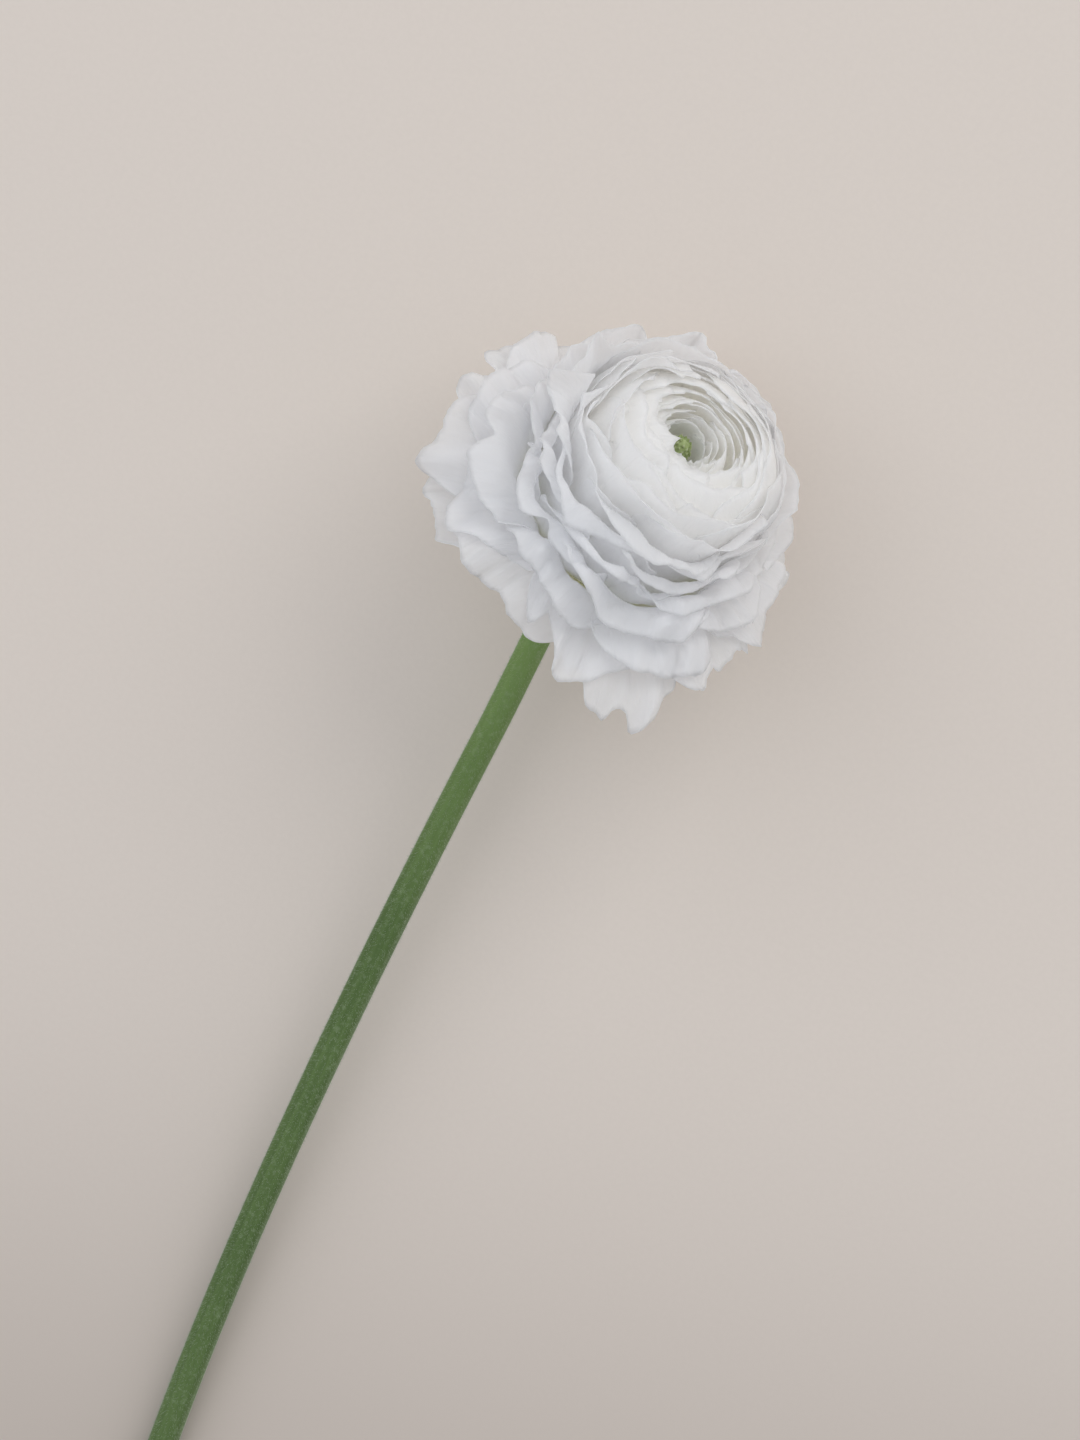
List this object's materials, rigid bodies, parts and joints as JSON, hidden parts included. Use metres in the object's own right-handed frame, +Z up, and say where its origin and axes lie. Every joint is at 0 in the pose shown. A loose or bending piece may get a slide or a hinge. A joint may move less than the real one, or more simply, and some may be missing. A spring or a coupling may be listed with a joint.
{
  "type": "ranunculus_flower",
  "caption": "Cut white ranunculus lying on a surface: a many-layered double bloom with curled outer petals and a green heart, on a long bare stem; decoration or flower arranging.",
  "frame": {"origin": "On the surface that the flower lies on, under the middle of its bounding box.", "axes": "+Z is up from the surface. +Y runs along the stem towards the bloom. The bloom faces up and towards +Y and +X."},
  "size_m": [0.0712, 0.3124, 0.064],
  "materials": {
    "petal": "matte",
    "eye": "matte",
    "calyx": "matte",
    "stem": "matte"
  },
  "bodies": {
    "root": {"petals": "petal", "carpels": "eye", "calyx": "calyx", "stem": "stem"}
  },
  "joints": []
}
